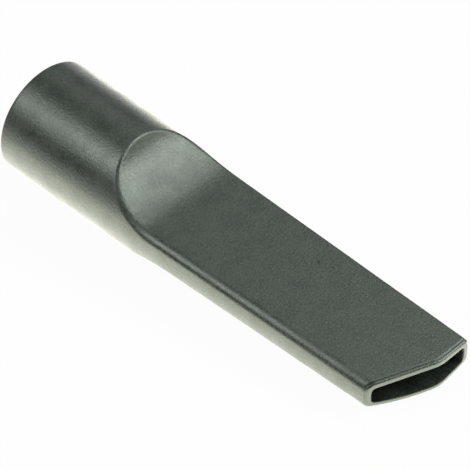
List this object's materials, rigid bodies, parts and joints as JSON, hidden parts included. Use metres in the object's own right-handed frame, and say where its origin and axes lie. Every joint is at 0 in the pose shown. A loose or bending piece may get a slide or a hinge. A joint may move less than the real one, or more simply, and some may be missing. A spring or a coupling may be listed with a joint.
{
  "type": "vacuum crevice nozzle",
  "caption": "One-piece crevice nozzle: a round push-on socket scooped down above and below into a flat tapering duct with an angled mouth.",
  "frame": {"origin": "centre of the socket's rim, on the axis of the duct", "axes": "+X along the duct from the socket to the mouth, +Z out of the blade's flat top, +Y to the side where the mouth reaches furthest"},
  "size_m": [0.159, 0.039, 0.039],
  "materials": {
    "moulded_plastic": "satin, dark grey with a fine moulded grain"
  },
  "bodies": {
    "root": {"crevice_nozzle": "moulded_plastic"}
  },
  "joints": []
}
